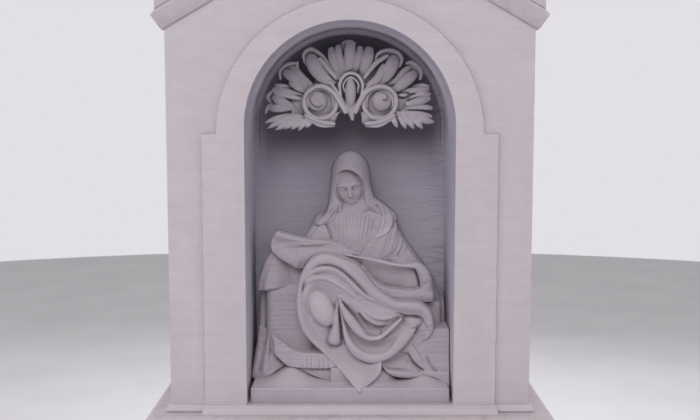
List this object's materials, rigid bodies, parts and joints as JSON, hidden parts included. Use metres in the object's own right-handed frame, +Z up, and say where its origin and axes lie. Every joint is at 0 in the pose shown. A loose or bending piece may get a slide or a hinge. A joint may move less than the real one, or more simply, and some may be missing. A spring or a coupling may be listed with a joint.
{
  "type": "wayside shrine",
  "caption": "Gabled stone shrine on a tall pedestal, with an arched niche that holds a seated veiled figure under an acanthus ornament.",
  "frame": {"origin": "on the ground, under the middle of the shrine's plan", "axes": "+Z up, +X to the right when facing the niche, and the niche opens towards -Y"},
  "size_m": [0.72, 0.52, 1.9383],
  "materials": {
    "pedestal_stone": "matte",
    "house_stone": "matte",
    "roof_stone": "matte",
    "ornament_stone": "matte",
    "figure_stone": "matte"
  },
  "bodies": {
    "root": {"archivolt": "house_stone", "back_gable_block": "house_stone", "back_wall": "house_stone", "base_course": "house_stone", "bed_moulding": "pedestal_stone", "cap_slab": "pedestal_stone", "die_lower_course": "pedestal_stone", "die_middle_course": "pedestal_stone", "die_upper_course": "pedestal_stone", "figure_base": "figure_stone", "figure_robe": "figure_stone", "figure_seat": "figure_stone", "figure_torso": "figure_stone", "foot_moulding": "pedestal_stone", "ground_course": "pedestal_stone", "lap_drapery": "figure_stone", "left_arch_block": "house_stone", "left_arm": "figure_stone", "left_cornice_course": "roof_stone", "left_lower_spray": "ornament_stone", "left_pilaster": "house_stone", "left_roof_slab": "roof_stone", "left_side_leaves": "ornament_stone", "left_side_wall": "house_stone", "left_skirt": "figure_stone", "left_upper_leaves": "ornament_stone", "left_volute": "ornament_stone", "niche_sill": "house_stone", "ornament_console": "ornament_stone", "palmette": "ornament_stone", "pendant_drop": "ornament_stone", "plinth_course": "pedestal_stone", "ridge_cap": "roof_stone", "right_arch_block": "house_stone", "right_cornice_course": "roof_stone", "right_lower_spray": "ornament_stone", "right_mantle": "figure_stone", "right_pilaster": "house_stone", "right_roof_slab": "roof_stone", "right_side_leaves": "ornament_stone", "right_side_wall": "house_stone", "right_upper_leaves": "ornament_stone", "right_volute": "ornament_stone", "unrolled_cloth": "figure_stone", "veiled_head": "figure_stone"}
  },
  "joints": []
}
